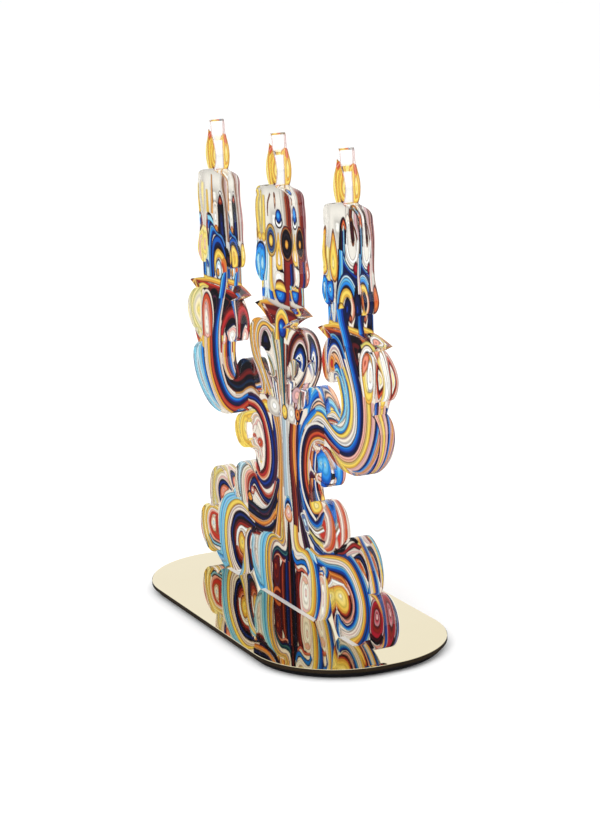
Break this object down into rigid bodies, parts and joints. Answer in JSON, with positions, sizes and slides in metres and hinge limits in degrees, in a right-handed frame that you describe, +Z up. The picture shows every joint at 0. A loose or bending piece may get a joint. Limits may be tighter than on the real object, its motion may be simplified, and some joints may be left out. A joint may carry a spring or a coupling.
{
  "type": "menorah",
  "caption": "Flat acrylic table candelabra with three candles, a printed marbled picture and a gold mirror base.",
  "frame": {"origin": "middle of the footprint, on the surface that the felt pads stand on", "axes": "+Z up, -Y towards the front of the picture, +X to the right of somebody facing the front"},
  "size_m": [0.3392, 0.15, 0.3718],
  "materials": {
    "clear_acrylic": "polished clear cast acrylic",
    "picture_ink": "printed ink in many colours, seen through the acrylic",
    "rear_ink": "printed ink on a white layer",
    "gold_mirror": "pale gold mirror acrylic with dark edges",
    "black_acrylic": "polished black acrylic",
    "felt": "dense black felt"
  },
  "bodies": {
    "root": {"candelabra_plate": "clear_acrylic", "picture_print": "picture_ink", "rear_print": "rear_ink", "mirror_plate": "gold_mirror", "base_plate": "black_acrylic", "felt_pad_front_left": "felt", "felt_pad_front_right": "felt", "felt_pad_rear_left": "felt", "felt_pad_rear_right": "felt"}
  },
  "joints": []
}
